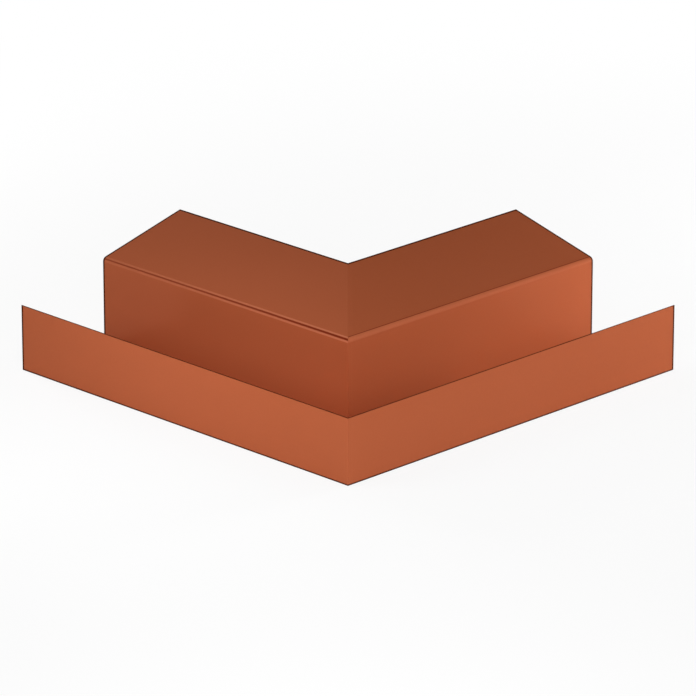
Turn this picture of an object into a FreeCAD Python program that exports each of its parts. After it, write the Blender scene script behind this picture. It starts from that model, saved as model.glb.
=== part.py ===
import FreeCAD, Part
import enum
import math
import os
import Sketcher

# Gutter external angle: the outside corner of a box gutter, folded from coated steel sheet.
# Two runs of one folded section meet at a mitre. The section is a front wall, a flat base, a
# higher back wall that stands against the fascia, and an eaves flange that rises from the back
# wall at the pitch of the roof and lies under its covering.
#
# Frame: +Z is up and the base lies on Z = 0. The origin is on the underside of the base where
# the centre lines of the two runs cross. The first run goes along +X and the second leaves it
# at the corner angle, towards +Y. The building stands between the two runs.

NODE = "gutter_angle"
PARTS_FOLDER = "parts"

# Driving dimensions in millimetres and degrees: name, value and meaning
SIZES = [
    ("arm_length", 500, "each run along its front wall, from the outer corner to the cut end"),
    ("trough_width", 120, "clear width between the front wall and the back wall"),
    ("front_height", 75, "front wall, from the underside of the base to its cut edge"),
    ("back_height", 100, "back wall, from the underside of the base to the line where it turns"),
    ("flange_length", 120, "eaves flange up the slope, from the line where it turns to its cut edge"),
    ("flange_pitch", 14, "slope of the eaves flange above the level, in degrees"),
    ("corner_angle", 90, "angle between the two runs on the side of the building, in degrees"),
    ("sheet", 0.6, "thickness of the coated sheet"),
    ("tight_fold", 0.6, "inside radius of the two tight folds beside the base"),
    ("soft_fold", 5, "outside radius of the soft fold between the back wall and the flange"),
]

QUARTER_TURN = math.pi / 2


class Spot(enum.IntEnum):
    """The sketcher's numbers for the points of a line or an arc."""

    START = 1
    END = 2
    CENTRE = 3


class Axis(enum.IntEnum):
    """The sketcher's numbers for the sketch's own axes."""

    LEVEL = -1
    UPRIGHT = -2


def add_sizes(doc):
    """The sheet of driving dimensions. Returns their values by name."""
    sheet = doc.addObject("Spreadsheet::Sheet", "sizes")
    for row, (name, value, meaning) in enumerate(SIZES, start=1):
        sheet.set(f"A{row}", name)
        sheet.set(f"B{row}", str(value))
        sheet.set(f"C{row}", meaning)
        sheet.setAlias(f"B{row}", name)
    doc.recompute()
    return {name: float(sheet.get(name)) for name, _, _ in SIZES}


def origin_plane(body, role):
    """One of the body's own origin planes, found by its role."""
    return next(plane for plane in body.Origin.OriginFeatures if plane.Role == role)


def direction(angle):
    """The unit vector of the sketch at this angle from its level axis."""
    return FreeCAD.Vector(math.cos(angle), math.sin(angle), 0)


def add_rule(sketch, *parts):
    """A geometric rule of the sketch, such as two lines that stay parallel."""
    return sketch.addConstraint(Sketcher.Constraint(*parts))


def add_dimension(sketch, name, formula, kind, *parts):
    """A named dimension of the sketch that follows the sheet of sizes."""
    value = sketch.evalExpression(formula)
    if kind == "Angle":
        value = math.radians(value)
    sketch.renameConstraint(add_rule(sketch, kind, *parts, value), name)
    sketch.setExpression(f"Constraints.{name}", formula)


def draw_face(sketch, start, straights, folds):
    """One face of the folded sheet, drawn as a strip is bent, leg by leg from the front wall's
    cut edge: a straight of some length, a fold of some radius and turn, the next straight.
    Returns the straights and the folds."""
    walls = []
    arcs = []
    point = start
    heading = -QUARTER_TURN
    for straight, fold in zip(straights, [*folds, None]):
        end = point + direction(heading) * straight
        walls.append(sketch.addGeometry(Part.LineSegment(point, end), False))
        if fold:
            # A left turn has its centre on the left of the walk, and a right turn on the right
            radius, turn = fold
            entry = heading - math.copysign(QUARTER_TURN, turn)
            centre = end - direction(entry) * radius
            circle = Part.Circle(centre, FreeCAD.Vector(0, 0, 1), radius)
            arc = Part.ArcOfCircle(circle, *sorted((entry, entry + turn)))
            arcs.append(sketch.addGeometry(arc, False))
            point = centre + direction(entry + turn) * radius
            heading += turn

    for before, arc, after, (_, turn) in zip(walls, arcs, walls[1:], folds):
        way_in, way_out = (Spot.START, Spot.END) if turn > 0 else (Spot.END, Spot.START)
        add_rule(sketch, "Tangent", before, Spot.END, arc, way_in)
        add_rule(sketch, "Tangent", arc, way_out, after, Spot.START)
    return walls, arcs


def add_cut_edge(sketch, shown, hidden, point):
    """The square-cut edge of the sheet, from its shown face to its hidden one."""
    ends = sketch.getPoint(shown, point), sketch.getPoint(hidden, point)
    edge = sketch.addGeometry(Part.LineSegment(*ends), False)
    add_rule(sketch, "Coincident", edge, Spot.START, shown, point)
    add_rule(sketch, "Coincident", edge, Spot.END, hidden, point)
    add_rule(sketch, "Perpendicular", edge, shown)
    add_rule(sketch, "Parallel", shown, hidden)


def add_section(body, size):
    """The folded section, drawn at the cut end of the first run. Its shown face lies inside the
    trough and on top of the flange, and its hidden face is one sheet behind it."""
    sketch = body.newObject("Sketcher::SketchObject", "section")
    sketch.AttachmentSupport = [(origin_plane(body, "YZ_Plane"), "")]
    sketch.MapMode = "FlatFace"
    sketch.setExpression(
        "AttachmentOffset.Base.z",
        "sizes.arm_length - (sizes.trough_width / 2 + sizes.sheet) / tan(sizes.corner_angle / 2)",
    )

    # The two faces have the same straights and differ in the radii of their folds
    half_trough = size["trough_width"] / 2
    flange_turn = math.radians(size["flange_pitch"]) - QUARTER_TURN
    soft_setback = size["soft_fold"] * math.tan(-flange_turn / 2)
    tight_rise = size["sheet"] + size["tight_fold"]
    straights = [
        size["front_height"] - tight_rise,
        size["trough_width"] - 2 * size["tight_fold"],
        size["back_height"] - tight_rise - soft_setback,
        size["flange_length"] - soft_setback,
    ]

    def add_face(depth):
        start = FreeCAD.Vector(-half_trough - depth, size["front_height"], 0)
        tight = size["tight_fold"] + depth, QUARTER_TURN
        soft = size["soft_fold"] - depth, flange_turn
        return draw_face(sketch, start, straights, [tight, tight, soft])

    shown_walls, shown_folds = add_face(0)
    hidden_walls, hidden_folds = add_face(size["sheet"])
    front, _, back, flange = shown_walls
    hidden_front, hidden_base, _, hidden_flange = hidden_walls
    front_fold, back_fold, soft_fold = shown_folds
    hidden_front_fold, hidden_back_fold, hidden_soft_fold = hidden_folds
    add_cut_edge(sketch, front, hidden_front, Spot.START)
    add_cut_edge(sketch, flange, hidden_flange, Spot.END)

    # Both faces bend about the same centres, so they stay one sheet apart all along
    for shown, hidden in zip(shown_folds, hidden_folds):
        add_rule(sketch, "Coincident", shown, Spot.CENTRE, hidden, Spot.CENTRE)
    add_rule(sketch, "Equal", front_fold, back_fold)
    add_rule(sketch, "Equal", hidden_front_fold, hidden_back_fold)

    # The walls are upright, the trough is centred on its run, and its underside is at zero
    add_rule(sketch, "Vertical", front)
    add_rule(sketch, "Vertical", back)
    add_rule(sketch, "Symmetric", front_fold, Spot.CENTRE, back_fold, Spot.CENTRE, Axis.UPRIGHT)
    add_rule(sketch, "PointOnObject", hidden_base, Spot.START, Axis.LEVEL)

    # The back wall turns where its shown face would meet the flange's with no fold between them
    turn_point = FreeCAD.Vector(half_trough, size["back_height"], 0)
    turn = sketch.addGeometry(Part.Point(turn_point), True)
    add_rule(sketch, "PointOnObject", turn, Spot.START, back)
    add_rule(sketch, "PointOnObject", turn, Spot.START, flange)

    origin = Axis.LEVEL, Spot.START
    dimensions = [
        ("tight_fold", "sizes.tight_fold", "Radius", front_fold),
        ("tight_fold_outside", "sizes.tight_fold + sizes.sheet", "Radius", hidden_front_fold),
        ("soft_fold", "sizes.soft_fold", "Radius", soft_fold),
        ("soft_fold_inside", "sizes.soft_fold - sizes.sheet", "Radius", hidden_soft_fold),
        ("trough_width", "sizes.trough_width", "DistanceX", front, Spot.END, back, Spot.START),
        ("front_height", "sizes.front_height", "DistanceY", *origin, front, Spot.START),
        ("back_height", "sizes.back_height", "DistanceY", *origin, turn, Spot.START),
        ("flange_length", "sizes.flange_length", "Distance", turn, Spot.START, flange, Spot.END),
        ("flange_pitch", "sizes.flange_pitch", "Angle", flange),
    ]
    for name, formula, kind, *parts in dimensions:
        add_dimension(sketch, name, formula, kind, *parts)
    return sketch


def add_mitre_plane(body, size):
    """The upright plane through the Z axis that halves the corner, where the two runs meet."""
    plane = body.newObject("PartDesign::Plane", "mitre_plane")
    plane.AttachmentSupport = [(origin_plane(body, "XZ_Plane"), "")]
    plane.MapMode = "FlatFace"
    upright = FreeCAD.Vector(0, 1, 0)
    turned = FreeCAD.Rotation(upright, size["corner_angle"] / 2)
    plane.AttachmentOffset = FreeCAD.Placement(FreeCAD.Vector(), turned)
    plane.setExpression("AttachmentOffset.Rotation.Angle", "sizes.corner_angle / 2")
    return plane


def add_gutter_angle(doc, size):
    """The whole part: the section drawn back from its cut end to the mitre, then mirrored there."""
    body = doc.addObject("PartDesign::Body", NODE)
    body.Label = NODE
    body.Placement = FreeCAD.Placement()
    mitre = add_mitre_plane(body, size)
    section = add_section(body, size)

    first_run = body.newObject("PartDesign::Pad", "first_run")
    first_run.Profile = section
    first_run.Type = "UpToFace"
    first_run.UpToFace = (mitre, [""])
    first_run.Reversed = True

    both_runs = body.newObject("PartDesign::Mirrored", "both_runs")
    both_runs.Originals = [first_run]
    both_runs.MirrorPlane = (mitre, [""])
    body.Tip = both_runs
    doc.recompute()
    return body


def check(doc, body):
    """Stops the build if anything in the document failed, or if the two runs aren't one solid."""
    failed = [thing.Name for thing in doc.Objects if {"Invalid", "Error"} & set(thing.State)]
    if failed:
        raise RuntimeError(f"these failed to build: {failed}")
    section = doc.getObject("section")
    if not section.FullyConstrained:
        raise RuntimeError("the section's sketch isn't fully constrained")
    if body.Shape.isNull() or not body.Shape.isValid():
        raise RuntimeError(f"{body.Label} isn't a valid shape")
    if len(body.Shape.Solids) != 1:
        raise RuntimeError(f"{body.Label} has {len(body.Shape.Solids)} solids, not 1")
    run_volume = doc.getObject("first_run").Shape.Volume
    if not math.isclose(body.Shape.Volume, 2 * run_volume, rel_tol=1e-6):
        raise RuntimeError("the mirrored run doesn't double the first one")


def report(doc, body, size):
    """Prints what a folder of sheet metal would ask for, and the size of the finished piece."""
    section_area = Part.Face(Part.Wire(doc.getObject("section").Shape.Edges)).Area
    box = body.Shape.BoundBox
    print(f"developed width of the strip: {section_area / size['sheet']:.1f} mm")
    print(f"{body.Label}: {box.XLength:.1f} x {box.YLength:.1f} x {box.ZLength:.1f} mm")
    print(f"volume {body.Shape.Volume:.0f} mm3, {len(body.Shape.Faces)} faces")


def build():
    doc = FreeCAD.newDocument("gutter_external_angle")
    size = add_sizes(doc)
    body = add_gutter_angle(doc, size)
    check(doc, body)
    report(doc, body, size)
    os.makedirs(PARTS_FOLDER, exist_ok=True)
    body.Shape.exportStep(f"{PARTS_FOLDER}/{body.Label}.step")


build()
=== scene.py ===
# %% [markdown]
# # The outside corner of a box gutter, folded from coated sheet
#
# The real object is one piece of sheet metal. Two runs of the same folded section meet at a square
# mitre: a low front wall, a flat base, a higher back wall that stands against the building, and an
# eaves flange that slopes up behind it. This lesson takes the solid as it comes from the drawing
# office and gives it what the drawing lacks: the coat of paint, the light and the view.
#
# The sheet could be modelled again here, by extruding the section along a mitred path. But the
# walls, folds and cut edges of the solid are already the real ones, so the lesson keeps it and
# spends its time on the finish.

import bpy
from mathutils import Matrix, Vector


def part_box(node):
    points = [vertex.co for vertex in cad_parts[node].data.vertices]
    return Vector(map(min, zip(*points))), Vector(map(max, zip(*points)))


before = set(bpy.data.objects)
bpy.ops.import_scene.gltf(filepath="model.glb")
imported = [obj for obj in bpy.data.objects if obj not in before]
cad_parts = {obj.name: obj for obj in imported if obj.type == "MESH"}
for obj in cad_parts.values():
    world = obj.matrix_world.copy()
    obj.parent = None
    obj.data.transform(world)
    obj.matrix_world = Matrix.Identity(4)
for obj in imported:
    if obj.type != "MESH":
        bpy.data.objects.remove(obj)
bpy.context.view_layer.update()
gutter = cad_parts["gutter_angle"]
print("triangles in the gutter:", len(gutter.data.polygons))

# %% Modules and units
import math

import bpy
from mathutils import Vector

MM = 0.001

# %% [markdown]
# ## Where things are on the section
#
# The finish changes along the folds and at the cut edges, so the material has to know where they
# are. The sizes below are the ones that the sheet is folded to. They are repeated here because the
# material needs the lines where the flat faces would meet, and those aren't vertices of the mesh.
#
# Across the section, zero is the middle of the trough. A run starts at the mitre and ends at its
# square cut.

# %% The folded section
TROUGH_WIDTH = 120 * MM
SHEET = 0.6 * MM
FRONT_HEIGHT = 75 * MM
BACK_HEIGHT = 100 * MM
FLANGE_LENGTH = 120 * MM
FLANGE_PITCH = math.radians(14)
ARM_LENGTH = 500 * MM

front_face = -TROUGH_WIDTH / 2 - SHEET
back_face = TROUGH_WIDTH / 2
arm_end = front_face + ARM_LENGTH
flange_top = BACK_HEIGHT + FLANGE_LENGTH * math.sin(FLANGE_PITCH)
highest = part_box("gutter_angle")[1]
print("arm end off by", round((highest.x - arm_end) / MM, 3), "mm")
print("flange off by", round((highest.z - flange_top) / MM, 3), "mm")

# %% [markdown]
# ## The coat
#
# The sheet is steel with a baked satin coat in a warm brick red, the same on both of its sides.
# Some of the shine takes the colour of the coat, as it does where the paint holds fine metal
# flakes, so the shader is given a small share of metal and little of the white gloss of plain
# plastic.
#
# A picture of painted metal could be wrapped round the part, but a material built from nodes stays
# sharp at any distance and needs no unwrapping. It starts as a single principled shader. The values
# that are the same all over go straight to its sockets.

# %% Start the material
PLAIN_GLOSS = 0.02

coat = bpy.data.materials.new("brick_red_satin_coat")
coat.use_nodes = True
tree = coat.node_tree
shader = tree.nodes["Principled BSDF"]
shader.inputs["Specular IOR Level"].default_value = PLAIN_GLOSS
print("shader sockets:", len(shader.inputs))


# %% A helper for nodes
def add_node(kind, sockets=(), output=0, **settings):
    """Adds a node to the current tree, sets or links its sockets and gives one of its outputs."""
    node = tree.nodes.new("ShaderNode" + kind)
    for name, value in settings.items():
        setattr(node, name, value)
    for name, value in dict(sockets).items():
        if isinstance(value, bpy.types.NodeSocket):
            tree.links.new(value, node.inputs[name])
        else:
            node.inputs[name].default_value = value
    return node.outputs[output]


# %% [markdown]
# ## Section coordinates
#
# Both runs have the same section, so the material should see them as one. On a point of the first
# run y is the distance across the trough and x the distance along it, and on the second run they
# change places. The smaller of the two is always the one across, because the mitre plane is where
# they are equal. That folds both runs onto one drawing of the section with two Math nodes.

# %% Across, along and height
place = add_node("TexCoord", output="Object")
axes = add_node("SeparateXYZ", {"Vector": place}).node
across = add_node("Math", {0: axes.outputs["X"], 1: axes.outputs["Y"]}, operation="MINIMUM")
along = add_node("Math", {0: axes.outputs["X"], 1: axes.outputs["Y"]}, operation="MAXIMUM")
height = axes.outputs["Z"]
on_section = add_node("CombineXYZ", {"X": across, "Y": height})
print("across:", across.node.operation.lower(), "of x and y, along:", along.node.operation.lower())

# %% [markdown]
# ## Lines on the section
#
# Three kinds of line matter to the finish: the tight folds at the foot, the soft fold under the
# flange, and the edges where the sheet was cut. A mask round each could be painted by hand. It is
# better worked out from the distance to the line, which is exact and follows both runs at once.


# %% Mask round a line
def near_line(across_at, height_at, inner, outer):
    """A mask that is 1 within the inner distance of a line and 0 past the outer one."""
    line = add_node("CombineXYZ", {"X": across_at, "Y": height_at})
    distance = add_node("VectorMath", {0: on_section, 1: line}, "Value", operation="DISTANCE")
    reach = {"From Min": inner, "From Max": outer, "To Min": 1.0, "To Max": 0.0}
    return add_node("MapRange", {"Value": distance, **reach}, interpolation_type="SMOOTHSTEP")


def either(masks):
    """The greatest of several masks."""
    result = masks[0]
    for mask in masks[1:]:
        result = add_node("Math", {0: result, 1: mask}, operation="MAXIMUM")
    return result


# %% [markdown]
# ## Dark edges and painted shade at the foot
#
# The free edges carry a thin dark rim of the coat, finest on top of the front wall. It reaches
# round the edge onto both faces. The same dark colour lies along the tight folds at the foot as
# painted shade where the part meets the floor. The solid has one material slot, so masks pick all
# these places.

# %% Dark rim and painted foot shade mask
RIM_WIDTH = (1.8 * MM, 2.8 * MM)
THIN_RIM_WIDTH = (0.4 * MM, 1.0 * MM)
FOOT_REACH = (1.5 * MM, 2.5 * MM)

flange_out = back_face + FLANGE_LENGTH * math.cos(FLANGE_PITCH)
rim_and_foot_lines = {
    "front edge": (front_face + SHEET / 2, FRONT_HEIGHT, *THIN_RIM_WIDTH),
    "flange edge": (flange_out, flange_top, *RIM_WIDTH),
    # the two foot lines carry painted shade where the part meets the floor
    "front foot": (front_face, 0.0, *FOOT_REACH),
    "back foot": (back_face + SHEET, 0.0, *FOOT_REACH),
}
from_end = add_node("Math", {0: arm_end, 1: along}, operation="SUBTRACT")
end_rim_range = {"Value": from_end, "From Min": RIM_WIDTH[0], "From Max": RIM_WIDTH[1], "To Min": 1.0, "To Max": 0.0}
end_mask = add_node("MapRange", end_rim_range, interpolation_type="SMOOTHSTEP")
# mask of the dark rim on the free edges and of the painted shade along the tight folds at the foot
dark_rim_and_foot_shade = either([end_mask] + [near_line(*line) for line in rim_and_foot_lines.values()])
for name, line in rim_and_foot_lines.items():
    print(name, "at", [round(v / MM, 2) for v in line[:2]], "mm")

# %% [markdown]
# ## Painted highlight and painted shade on the soft fold
#
# The soft fold is painted paler all over, partly as the stretched coat and partly as a painted
# highlight of its sheen, most of all near the mitre. On the second run, the left one in the view,
# a dark line of painted shade runs along the middle of the fold, widest at the mitre. The first
# run shows only a hair of it, on the side of the flange. The masks follow the middle of the fold,
# the distance along the run and which run it is.

# %% Where the soft fold is
SOFT_RADIUS = 5 * MM

fold_turn = math.pi / 2 - FLANGE_PITCH
set_back = SOFT_RADIUS * math.tan(fold_turn / 2)
middle = (
    back_face + SOFT_RADIUS * (1 - math.cos(fold_turn / 2)),
    BACK_HEIGHT - set_back + SOFT_RADIUS * math.sin(fold_turn / 2),
)
turn_end = (
    back_face + SOFT_RADIUS * (1 - math.cos(fold_turn)),
    BACK_HEIGHT - set_back + SOFT_RADIUS * math.sin(fold_turn),
)
print("middle of the fold at", [round(v / MM, 2) for v in middle], "mm")
print("end of the turn at", [round(v / MM, 2) for v in turn_end], "mm")

# %% Painted fold shade masks
FOLD_SHADE_CORE = 0.6 * MM
FOLD_SHADE_AT_MITRE = 1.9 * MM
FOLD_SHADE_AT_END = 0.9 * MM
FOLD_SHADE_SHARE_AT_END = 0.65
HAIR_FOLD_SHADE = (0.2 * MM, 0.7 * MM)

run = {"Value": along, "From Min": back_face, "From Max": arm_end}
fold_shade_reach = add_node("MapRange", {**run, "To Min": FOLD_SHADE_AT_MITRE, "To Max": FOLD_SHADE_AT_END})
second_run = add_node("Math", {0: axes.outputs["X"], 1: axes.outputs["Y"]}, operation="LESS_THAN")
first_run = add_node("Math", {0: 1.0, 1: second_run}, operation="SUBTRACT")
fold_shade_share = add_node("MapRange", {**run, "To Min": 1.0, "To Max": FOLD_SHADE_SHARE_AT_END})
fading = add_node("Math", {0: fold_shade_share, 1: second_run}, operation="MULTIPLY")
# painted shade: a dark line along the middle of the soft fold, widest at the mitre, mostly on the
# second run
core = near_line(*middle, FOLD_SHADE_CORE, fold_shade_reach)
deep_fold_shade = add_node("Math", {0: core, 1: fading}, operation="MULTIPLY")
hair = near_line(*turn_end, *HAIR_FOLD_SHADE)
hair_fold_shade = add_node("Math", {0: hair, 1: first_run}, operation="MULTIPLY")
fold_shade = either([deep_fold_shade, hair_fold_shade])
print("crease reaches", FOLD_SHADE_AT_MITRE / MM, "mm from its middle at the mitre")

# %% Stretched coat and painted highlight on the soft fold
STRETCH_HIGHLIGHT_REACH = (3.0 * MM, 3.8 * MM)
STRETCH_HIGHLIGHT_AT_END = 0.35
FIRST_RUN_STRETCH_HIGHLIGHT = 0.35

# a paler band on the soft fold: partly stretched coat, partly a painted highlight, stronger near
# the mitre and on the second run
by_length = add_node("MapRange", {**run, "To Min": 1.0, "To Max": STRETCH_HIGHLIGHT_AT_END})
by_run = add_node("MapRange", {"Value": second_run, "To Min": FIRST_RUN_STRETCH_HIGHLIGHT, "To Max": 1.0})
stretch_highlight_share = add_node("Math", {0: by_length, 1: by_run}, operation="MULTIPLY")
on_fold = near_line(*middle, *STRETCH_HIGHLIGHT_REACH)
stretched_and_highlit = add_node("Math", {0: on_fold, 1: stretch_highlight_share}, operation="MULTIPLY")
print("stretched coat reaches", STRETCH_HIGHLIGHT_REACH[1] / MM, "mm from the middle of the fold")

# %% [markdown]
# ## Colour
#
# A baked coat is even, but never one flat colour. Close up it has a fine grain of pigment, and over
# a hand's width it drifts a little between a redder and a browner batch of the same paint. Both
# come from noise on the object's own coordinates, so they keep their size when the view changes.
# The noise isn't clamped, because a clamp would leave flat islands with a visible shore.

# %% Noise
GRAIN_PER_METRE = 700.0
DRIFT_PER_METRE = 7.0
NOISE_DETAIL = 2.0
NOISE_SPAN = (0.25, 0.75)

even = {"Vector": place, "Detail": NOISE_DETAIL}
grain = add_node("TexNoise", {**even, "Scale": GRAIN_PER_METRE}, "Fac")
drift = add_node("TexNoise", {**even, "Scale": DRIFT_PER_METRE}, "Fac")
print("grain", GRAIN_PER_METRE, "per metre, drift", DRIFT_PER_METRE, "per metre")

# %% Helpers for noise and colours
MIX_FIRST, MIX_SECOND, MIX_RESULT = 6, 7, 2  # a Mix node's sockets that hold colours


def spread(fac, low, high):
    """Turns noise into a value that mostly stays between low and high."""
    start, stop = NOISE_SPAN
    span = {"Value": fac, "From Min": start, "From Max": stop, "To Min": low, "To Max": high}
    return add_node("MapRange", span, clamp=False)


def blend_colours(share, first, second):
    """Mixes two colours by a share, 0 for the first and 1 for the second."""
    sockets = {"Factor": share, MIX_FIRST: first, MIX_SECOND: second}
    return add_node("Mix", sockets, MIX_RESULT, data_type="RGBA")


# %% Base colour
COAT_RED = (0.448, 0.1085, 0.042, 1.0)
COAT_BROWN = (0.440, 0.1085, 0.044, 1.0)
# paler colour on the soft fold, partly stretched coat and partly a painted highlight
STRETCH_AND_HIGHLIGHT_COAT = (0.56, 0.165, 0.080, 1.0)
# colour of the painted shade along the middle of the soft fold
PAINTED_FOLD_SHADE = (0.17, 0.018, 0.004, 1.0)
# colour of the dark rim on the free edges and of the painted shade at the foot
DARK_RIM_AND_FOOT_SHADE = (0.07, 0.014, 0.004, 1.0)
GRAIN_SHADE = (0.98, 1.02)
DRIFT_SHADE = (0.985, 1.015)

batch = blend_colours(drift, COAT_RED, COAT_BROWN)
speckle = spread(grain, *GRAIN_SHADE)
shade = add_node("Math", {0: speckle, 1: spread(drift, *DRIFT_SHADE)}, operation="MULTIPLY")
coat_colour = add_node("VectorMath", {0: batch, "Scale": shade}, operation="SCALE")
# lays the stretched coat and painted highlight of the soft fold over the coat
with_stretch_highlight = blend_colours(stretched_and_highlit, coat_colour, STRETCH_AND_HIGHLIGHT_COAT)
# lays the painted shade line of the soft fold over the coat
with_fold_shade = blend_colours(fold_shade, with_stretch_highlight, PAINTED_FOLD_SHADE)
# lays the dark edge rim and the painted foot shade over the coat
tree.links.new(blend_colours(dark_rim_and_foot_shade, with_fold_shade, DARK_RIM_AND_FOOT_SHADE), shader.inputs["Base Color"])
print("coat colour", COAT_RED[:3])

# %% [markdown]
# ## Gloss
#
# The shine follows the same masks. The coat is satin with a slight unevenness, and duller in the
# painted fold shade. The dark rim and the painted foot shade are dull and hold no flakes, so there
# the roughness rises and the share of metal falls.

# %% Metal and roughness
METAL_FLAKE = 0.08
SATIN = 0.22
SATIN_SWING = 0.015
DULL_FOLD_SHADE = 0.1
DULL_RIM_AND_FOOT = 0.5

metal = add_node("MapRange", {"Value": dark_rim_and_foot_shade, "To Min": METAL_FLAKE, "To Max": 0.0})
satin = spread(drift, SATIN - SATIN_SWING, SATIN + SATIN_SWING)
# the roughness rises a little in the painted fold shade
dulled_fold_shade = add_node("Math", {0: fold_shade, 1: DULL_FOLD_SHADE, 2: satin}, operation="MULTIPLY_ADD")
roughness = add_node("Math", {0: dark_rim_and_foot_shade, 1: DULL_RIM_AND_FOOT, 2: dulled_fold_shade}, operation="MULTIPLY_ADD")
tree.links.new(metal, shader.inputs["Metallic"])
tree.links.new(roughness, shader.inputs["Roughness"])
print("satin roughness", SATIN)

# %% [markdown]
# ## Orange peel and flatness
#
# Baked paint levels out into a faint orange peel, and thin sheet is never perfectly flat: it bows
# by about a tenth of a millimetre between its folds. Both are far too small to model, and both only
# show where something is mirrored, so they belong in the bump. Its height is in millimetres.

# %% Bump
PEEL_PER_METRE = 350.0
PEEL_DEPTH = 0.0015
PEEL_DETAIL = 1.0
BOW_PER_METRE = 8.0
BOW_DEPTH = 0.12
BOW_DETAIL = 0.0

fine = {"Vector": place, "Scale": PEEL_PER_METRE, "Detail": PEEL_DETAIL}
wide = {"Vector": place, "Scale": BOW_PER_METRE, "Detail": BOW_DETAIL}
peel = add_node("TexNoise", fine, "Fac")
bow = add_node("TexNoise", wide, "Fac")
peel_height = add_node("Math", {0: peel, 1: PEEL_DEPTH}, operation="MULTIPLY")
relief_height = add_node("Math", {0: bow, 1: BOW_DEPTH, 2: peel_height}, operation="MULTIPLY_ADD")
relief = add_node("Bump", {"Height": relief_height, "Distance": MM})
tree.links.new(relief, shader.inputs["Normal"])
gutter.data.materials[0] = coat
print("nodes in the coat:", len(tree.nodes))

# %% [markdown]
# ## The floor
#
# The photograph's ground is pure white. A floor lit up to white would throw light back at the
# object, so this one is a plain pale floor whose shader shows the camera, and everything that
# mirrors it, a large share of plain white. The rest is ordinary diffuse paper, which keeps a soft
# shadow under the part. Away from the part the white takes over, so that the floor has no edge. It
# lies a hair below the part, so that the two faces don't fight, and it is clear from below, so that
# the underside can be looked at.

# %% Floor
FLOOR_SIZE = 60.0
PAPER = (0.85, 0.85, 0.85, 1.0)
WHITE = (1.0, 1.0, 1.0, 1.0)
WHITE_SHARE = 0.88
SHADOW_REACH = (0.7, 1.6)
HAIR = 0.3 * MM

bpy.ops.object.select_all(action="DESELECT")
bpy.ops.mesh.primitive_plane_add(size=FLOOR_SIZE, location=(0, 0, -HAIR))
floor = bpy.context.active_object
floor.name = "pale_floor"

floor_look = bpy.data.materials.new("pale_paper")
floor_look.use_nodes = True
tree = floor_look.node_tree
tree.nodes.remove(tree.nodes["Principled BSDF"])
ray = tree.nodes.new("ShaderNodeLightPath")
rays = ("Is Camera Ray", "Is Glossy Ray", "Is Transmission Ray")
seen = either([ray.outputs[name] for name in rays])
on_floor = add_node("TexCoord", output="Object")
away = add_node("VectorMath", {0: on_floor}, "Value", operation="LENGTH")
near, far = SHADOW_REACH
fade = {"Value": away, "From Min": near, "From Max": far, "To Min": WHITE_SHARE, "To Max": 1.0}
share = add_node("MapRange", fade, interpolation_type="SMOOTHSTEP")
white_share = add_node("Math", {0: seen, 1: share}, operation="MULTIPLY")
paper = add_node("BsdfDiffuse", {"Color": PAPER})
white = add_node("Emission", {"Color": WHITE, "Strength": 1.0})
top_side = add_node("MixShader", {0: white_share, 1: paper, 2: white})
below = add_node("NewGeometry", output="Backfacing")
surface = add_node("MixShader", {0: below, 1: top_side, 2: add_node("BsdfTransparent")})
tree.links.new(surface, tree.nodes["Material Output"].inputs["Surface"])
floor.data.materials.append(floor_look)
print("floor", FLOOR_SIZE, "m, white share", WHITE_SHARE)

# %% [markdown]
# ## The sky of the studio
#
# A single surrounding colour would leave the folds flat, and a picture of a studio would be one
# more file to carry. A dim ramp on the height of each direction is enough, a little paler near the
# horizon and darker overhead, because the lamps do the lighting. The camera alone sees plain white.

# %% World
HORIZON = (0.06, 0.06, 0.06, 1.0)
OVERHEAD = (0.03, 0.03, 0.03, 1.0)
RAMP_FOOT = 0.05
RAMP_TOP = 0.45

world = bpy.data.worlds.new("studio")
bpy.context.scene.world = world
world.use_nodes = True
tree = world.node_tree
rising = add_node("SeparateXYZ", {"Vector": add_node("TexCoord", output="Generated")}, "Z")
ramp = {"Value": rising, "From Min": RAMP_FOOT, "From Max": RAMP_TOP}
sky = blend_colours(add_node("MapRange", ramp), HORIZON, OVERHEAD)
ray = tree.nodes.new("ShaderNodeLightPath")
shown = blend_colours(ray.outputs["Is Camera Ray"], sky, WHITE)
tree.links.new(shown, tree.nodes["Background"].inputs["Color"])
print("world", HORIZON[0], "at the horizon,", OVERHEAD[0], "overhead")

# %% [markdown]
# ## Lamps
#
# The light in the photograph is soft, and most of it comes from low down. Area lamps in the shape
# of a disc give such a light: the larger the disc, the softer the shade. Each is set by its bearing
# and rise as seen from the part, where bearing 0 is the camera's side and 90 is the camera's right,
# so the plan can be read like a clock.

# %% Lamp helper
AIM = Vector((0.1, 0.1, 0.06))
TO_RIGHT = Vector((1, -1, 0)).normalized()
AWAY = Vector((1, 1, 0)).normalized()


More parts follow.
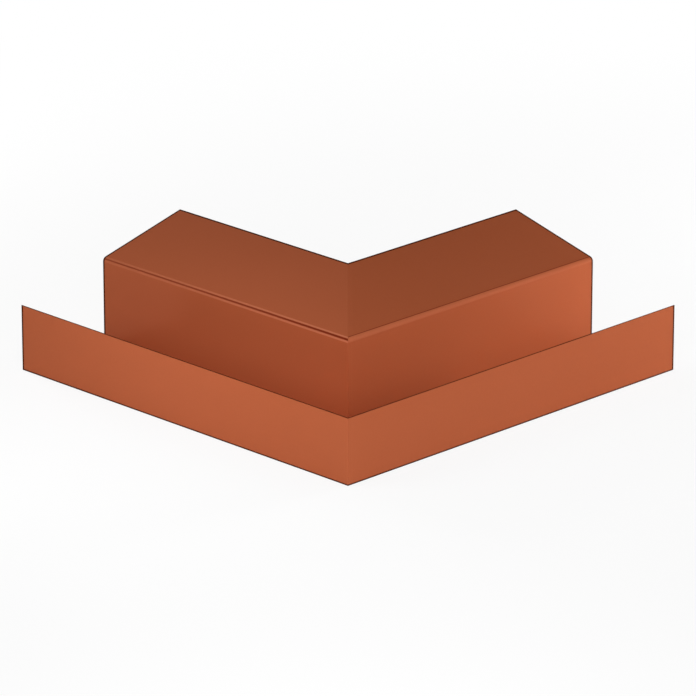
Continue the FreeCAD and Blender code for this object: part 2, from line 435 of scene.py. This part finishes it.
def add_lamp(name, bearing, rise, distance, size, level):
    """Adds a disc lamp. At level 1 it lights a white card that faces it to plain white."""
    side, lift = math.radians(bearing), math.radians(rise)
    flat = TO_RIGHT * math.sin(side) - AWAY * math.cos(side)
    way = flat * math.cos(lift) + Vector((0, 0, math.sin(lift)))
    turn = way.to_track_quat("Z", "Y").to_euler()
    bpy.ops.object.light_add(type="AREA", location=AIM + way * distance, rotation=turn)
    lamp = bpy.context.active_object
    lamp.name = name
    lamp.data.shape = "DISK"
    lamp.data.size = size
    lamp.data.energy = level * math.pi * distance ** 2 * math.pi
    lamp.visible_camera = False
    print(name, "at", [round(v, 2) for v in lamp.location], "level", level)


# %% Lamps
LAMPS = {  # bearing and rise in degrees, distance and size in metres, level
    "front": (0, 20, 1.4, 0.63, 0.49),
    "close_left": (300, 35, 0.62, 0.30, 0.40),
    "close_right": (60, 35, 0.62, 0.30, 0.10),
    "low_right_end": (118, 3.5, 1.4, 0.63, 1.65),
    "low_left_end": (223, 12, 2.0, 0.90, 0.93),
    "back_left_panel": (205, 42, 2.0, 1.20, 0.02),
}
for name, settings in LAMPS.items():
    add_lamp(name, *settings)

# %% [markdown]
# ## The camera
#
# The view comes from the photograph's own perspective. The part was fitted to its straight edges,
# with the corner taken as square, which gave how far back and how high the camera stood, how far it
# looked down and how long its lens was. It looks straight at the corner and isn't tilted to either
# side, so the mitre stands upright in the middle of the frame.

# %% Camera
CAMERA_BACK = 5553.6 * MM
CAMERA_HEIGHT = 2124.6 * MM
CAMERA_PITCH = math.radians(19.562)
CAMERA_TURN = -math.pi / 4
LENS_IN_FRAMES = 5775.26 / 696
SENSOR_MM = 36.0
FARTHEST_SEEN = 200.0

corner = Vector((front_face, front_face, 0))
bpy.ops.object.camera_add(location=corner - AWAY * CAMERA_BACK + Vector((0, 0, CAMERA_HEIGHT)))
camera = bpy.context.active_object
camera.rotation_euler = (math.pi / 2 - CAMERA_PITCH, 0, CAMERA_TURN)
camera.data.sensor_width = SENSOR_MM
camera.data.lens = SENSOR_MM * LENS_IN_FRAMES
camera.data.clip_end = FARTHEST_SEEN
bpy.context.scene.camera = camera
bpy.context.scene.view_settings.view_transform = "Standard"
print("camera at", [round(v, 3) for v in camera.location])
print("lens", round(camera.data.lens, 1), "mm")
